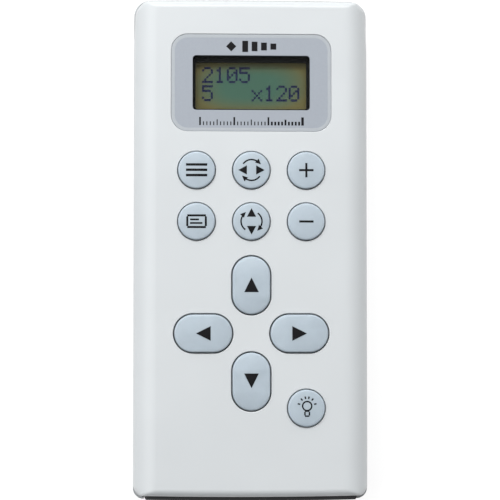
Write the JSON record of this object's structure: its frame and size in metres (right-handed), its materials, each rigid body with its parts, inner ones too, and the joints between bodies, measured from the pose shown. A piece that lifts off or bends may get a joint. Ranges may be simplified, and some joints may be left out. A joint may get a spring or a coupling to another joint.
{
  "type": "hand controller",
  "caption": "Hand-held controller: a flat rounded case with a small character display, round and oval rubber keys, and two sockets in its lower end.",
  "frame": {"origin": "middle of the flat rear face, which it rests on", "axes": "+Z out of the front face with the keys, +Y towards the display end, +X to the right seen from the front"},
  "size_m": [0.0688, 0.1476, 0.0262],
  "materials": {
    "case": "fine satin white moulding",
    "socket_panel": "fine-grained black moulding",
    "panel": "satin grey-blue print with a paler rim",
    "window": "clear polished acrylic",
    "gasket": "black foam",
    "lcd_frame": "black painted tin plate",
    "lcd_glass": "grey-green liquid-crystal cell",
    "backlight": "milky diffuser",
    "elastomer": "striped conductive rubber",
    "board": "green solder mask",
    "ribbon": "grey flat ribbon",
    "chip": "black epoxy",
    "components": "bright cans and chips",
    "silicone": "translucent blue-grey silicone",
    "carbon": "carbon-filled silicone",
    "socket_metal": "nickel plate",
    "socket_plastic": "black moulding",
    "contact": "gold flash",
    "screw": "zinc plate",
    "label": "silver label"
  },
  "bodies": {
    "case": {"front_shell": "case", "rear_shell": "case", "socket_panel": "socket_panel", "display_panel": "panel", "display_window": "window", "display_gasket": "gasket", "lcd_frame": "lcd_frame", "lcd_glass": "lcd_glass", "lcd_backlight": "backlight", "lcd_elastomers": "elastomer", "lcd_board": "board", "lcd_ribbon": "ribbon", "main_board": "board", "processor": "chip", "voltage_regulator": "chip", "board_components": "components", "keypad_mat": "silicone", "mount_port_shell": "socket_metal", "mount_port_insulator": "socket_plastic", "mount_port_pins": "contact", "mount_port_jack_nuts": "socket_metal", "guide_port_housing": "socket_plastic", "guide_port_contacts": "contact", "case_screws": "screw", "board_screws": "screw", "display_screws": "screw", "rear_label": "label"},
    "mount_key": {"mount_key": "silicone", "mount_key_contact": "carbon", "mount_key_web": "silicone"},
    "reverse_x_key": {"reverse_x_key": "silicone", "reverse_x_key_contact": "carbon", "reverse_x_key_web": "silicone"},
    "plus_key": {"plus_key": "silicone", "plus_key_contact": "carbon", "plus_key_web": "silicone"},
    "display_key": {"display_key": "silicone", "display_key_contact": "carbon", "display_key_web": "silicone"},
    "reverse_y_key": {"reverse_y_key": "silicone", "reverse_y_key_contact": "carbon", "reverse_y_key_web": "silicone"},
    "minus_key": {"minus_key": "silicone", "minus_key_contact": "carbon", "minus_key_web": "silicone"},
    "up_key": {"up_key": "silicone", "up_key_contact": "carbon", "up_key_web": "silicone"},
    "left_key": {"left_key": "silicone", "left_key_contact": "carbon", "left_key_web": "silicone"},
    "right_key": {"right_key": "silicone", "right_key_contact": "carbon", "right_key_web": "silicone"},
    "down_key": {"down_key": "silicone", "down_key_contact": "carbon", "down_key_web": "silicone"},
    "light_key": {"light_key": "silicone", "light_key_contact": "carbon", "light_key_web": "silicone"}
  },
  "joints": [
    {"name": "mount_key_press", "type": "slide", "parent": "case", "child": "mount_key", "axis": [0, 0, -1], "range_m": [0, 0.0012], "stiffness_N_per_m": 600, "springref_m": -0.0008, "deforming": ["mount_key_web"]},
    {"name": "reverse_x_key_press", "type": "slide", "parent": "case", "child": "reverse_x_key", "axis": [0, 0, -1], "range_m": [0, 0.0012], "stiffness_N_per_m": 600, "springref_m": -0.0008, "deforming": ["reverse_x_key_web"]},
    {"name": "plus_key_press", "type": "slide", "parent": "case", "child": "plus_key", "axis": [0, 0, -1], "range_m": [0, 0.0012], "stiffness_N_per_m": 600, "springref_m": -0.0008, "deforming": ["plus_key_web"]},
    {"name": "display_key_press", "type": "slide", "parent": "case", "child": "display_key", "axis": [0, 0, -1], "range_m": [0, 0.0012], "stiffness_N_per_m": 600, "springref_m": -0.0008, "deforming": ["display_key_web"]},
    {"name": "reverse_y_key_press", "type": "slide", "parent": "case", "child": "reverse_y_key", "axis": [0, 0, -1], "range_m": [0, 0.0012], "stiffness_N_per_m": 600, "springref_m": -0.0008, "deforming": ["reverse_y_key_web"]},
    {"name": "minus_key_press", "type": "slide", "parent": "case", "child": "minus_key", "axis": [0, 0, -1], "range_m": [0, 0.0012], "stiffness_N_per_m": 600, "springref_m": -0.0008, "deforming": ["minus_key_web"]},
    {"name": "up_key_press", "type": "slide", "parent": "case", "child": "up_key", "axis": [0, 0, -1], "range_m": [0, 0.0012], "stiffness_N_per_m": 600, "springref_m": -0.0008, "deforming": ["up_key_web"]},
    {"name": "left_key_press", "type": "slide", "parent": "case", "child": "left_key", "axis": [0, 0, -1], "range_m": [0, 0.0012], "stiffness_N_per_m": 600, "springref_m": -0.0008, "deforming": ["left_key_web"]},
    {"name": "right_key_press", "type": "slide", "parent": "case", "child": "right_key", "axis": [0, 0, -1], "range_m": [0, 0.0012], "stiffness_N_per_m": 600, "springref_m": -0.0008, "deforming": ["right_key_web"]},
    {"name": "down_key_press", "type": "slide", "parent": "case", "child": "down_key", "axis": [0, 0, -1], "range_m": [0, 0.0012], "stiffness_N_per_m": 600, "springref_m": -0.0008, "deforming": ["down_key_web"]},
    {"name": "light_key_press", "type": "slide", "parent": "case", "child": "light_key", "axis": [0, 0, -1], "range_m": [0, 0.0012], "stiffness_N_per_m": 600, "springref_m": -0.0008, "deforming": ["light_key_web"]}
  ]
}
